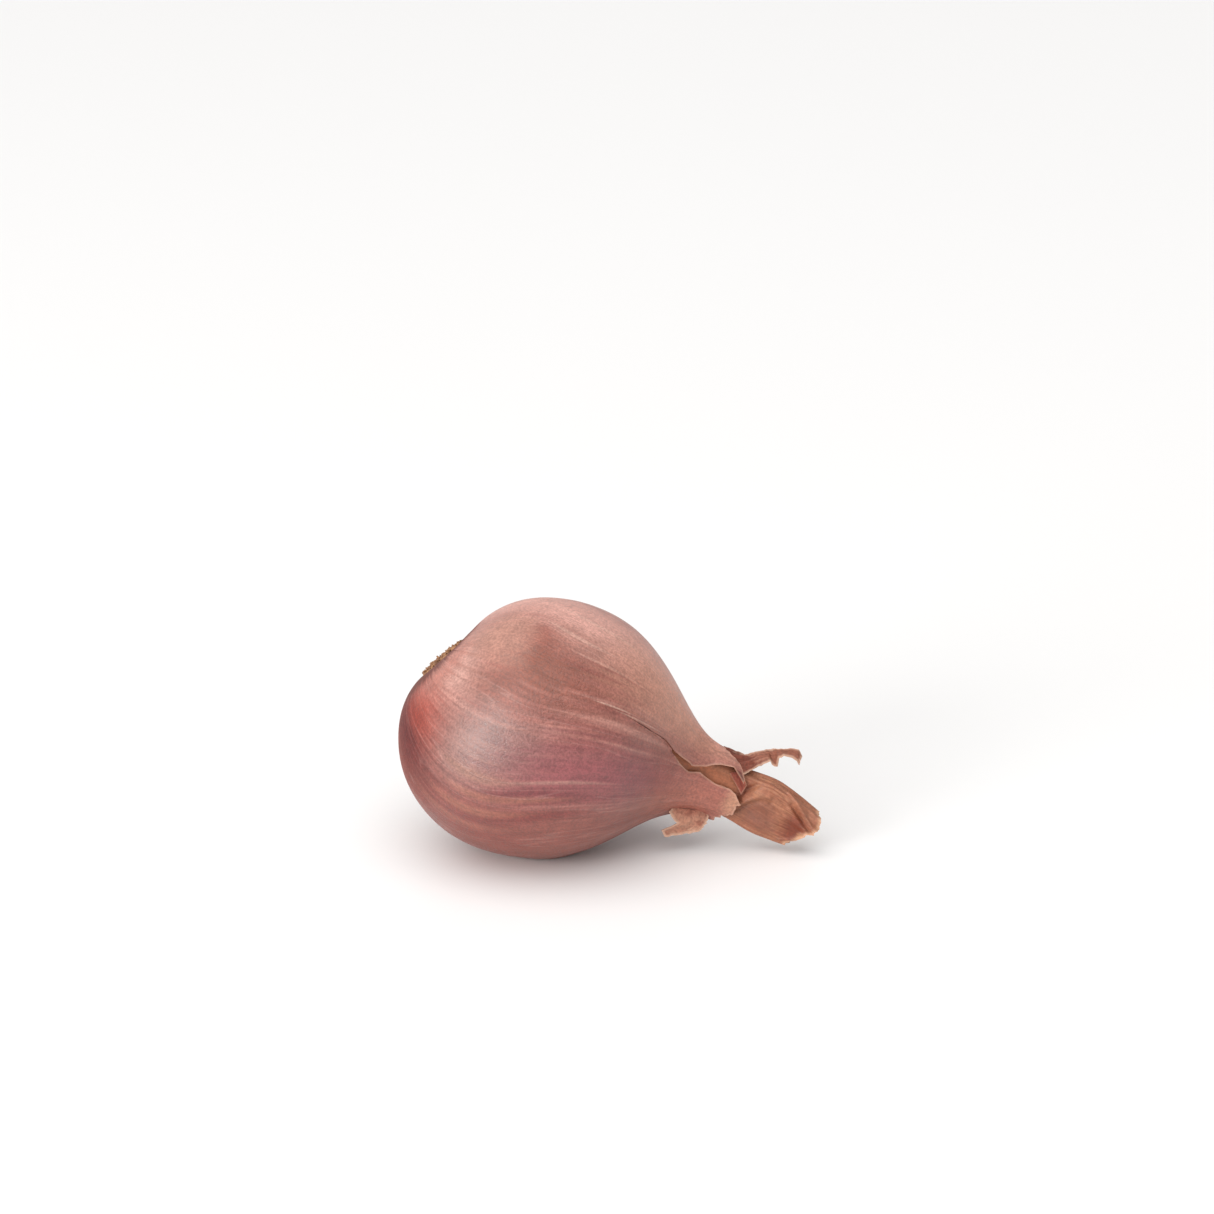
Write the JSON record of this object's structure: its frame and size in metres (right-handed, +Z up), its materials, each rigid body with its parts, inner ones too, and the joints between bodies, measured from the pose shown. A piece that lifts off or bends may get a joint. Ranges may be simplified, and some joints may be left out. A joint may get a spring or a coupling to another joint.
{
  "type": "shallot",
  "caption": "Whole shallot lying on its side, with a round papery-skinned bulb, a dry flattened neck, torn outer skin and a corky root plate.",
  "frame": {"origin": "middle of the small flat spot that the shallot rests on, on the surface below it", "axes": "+X from the root end to the neck, +Y away from the torn side, +Z up"},
  "size_m": [0.0683, 0.0422, 0.041],
  "materials": {
    "bulb_skin": "dry fibrous reddish-tan skin, matt with fine lengthwise veins",
    "outer_skin": "thin papery mauve-pink and copper skin, satin, with fine veins that run from root to neck",
    "inner_skin": "reddish-brown inner skin, satin",
    "torn_skin": "light copper-tan torn skin, frayed along its edges",
    "cork": "rough corky root plate with cut-off roots"
  },
  "bodies": {
    "root": {"bulb": "bulb_skin", "outer_skin": "outer_skin", "inner_tip": "inner_skin", "torn_leaf": "torn_skin", "hanging_shred": "torn_skin", "root_plate": "cork"}
  },
  "joints": []
}
